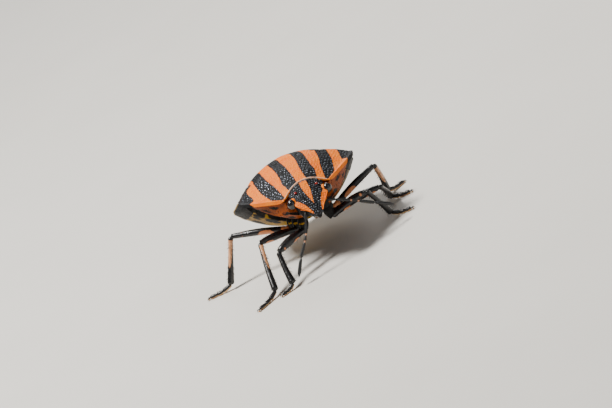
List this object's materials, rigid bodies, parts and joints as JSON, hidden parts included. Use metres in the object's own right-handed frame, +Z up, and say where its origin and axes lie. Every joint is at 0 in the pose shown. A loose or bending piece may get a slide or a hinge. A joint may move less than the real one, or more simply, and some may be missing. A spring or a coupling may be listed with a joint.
{
  "type": "striped shield bug",
  "caption": "Life-size still model of a striped shield bug standing on its legs, with shield, wing edges, head, antennae and beak.",
  "frame": {"origin": "centre of the footprint on the floor", "axes": "+Z up, the shortest way through the animal; +X to the animal's left, across its legs; -Y the way it faces"},
  "size_m": [0.012, 0.0104, 0.0052],
  "materials": {
    "shield_cuticle": "orange cuticle with black lengthwise stripes, dense small pits, a waxy shine",
    "wing_cuticle": "brown and dark leathery wing cover, satin",
    "belly_cuticle": "yellow orange cuticle with rows of black spots, satin",
    "head_cuticle": "black cuticle with orange strips, pitted, a waxy shine",
    "eye": "black, glossy, finely faceted",
    "beak": "dark brown, smooth",
    "antenna_cuticle": "black, finely haired",
    "leg_cuticle": "black with orange and pale brown marks, finely haired",
    "foot_cuticle": "black above and cream below, haired"
  },
  "bodies": {
    "root": {"pronotum": "shield_cuticle", "scutellum": "shield_cuticle", "wing_left": "wing_cuticle", "wing_right": "wing_cuticle", "abdomen": "belly_cuticle", "thorax": "belly_cuticle", "head": "head_cuticle", "eye_left": "eye", "eye_right": "eye", "rostrum": "beak", "antenna_left": "antenna_cuticle", "antenna_right": "antenna_cuticle", "femur_left_front": "leg_cuticle", "tibia_left_front": "leg_cuticle", "tarsus_left_front": "foot_cuticle", "femur_left_middle": "leg_cuticle", "tibia_left_middle": "leg_cuticle", "tarsus_left_middle": "foot_cuticle", "femur_left_hind": "leg_cuticle", "tibia_left_hind": "leg_cuticle", "tarsus_left_hind": "foot_cuticle", "femur_right_front": "leg_cuticle", "tibia_right_front": "leg_cuticle", "tarsus_right_front": "foot_cuticle", "femur_right_middle": "leg_cuticle", "tibia_right_middle": "leg_cuticle", "tarsus_right_middle": "foot_cuticle", "femur_right_hind": "leg_cuticle", "tibia_right_hind": "leg_cuticle", "tarsus_right_hind": "foot_cuticle"}
  },
  "joints": []
}
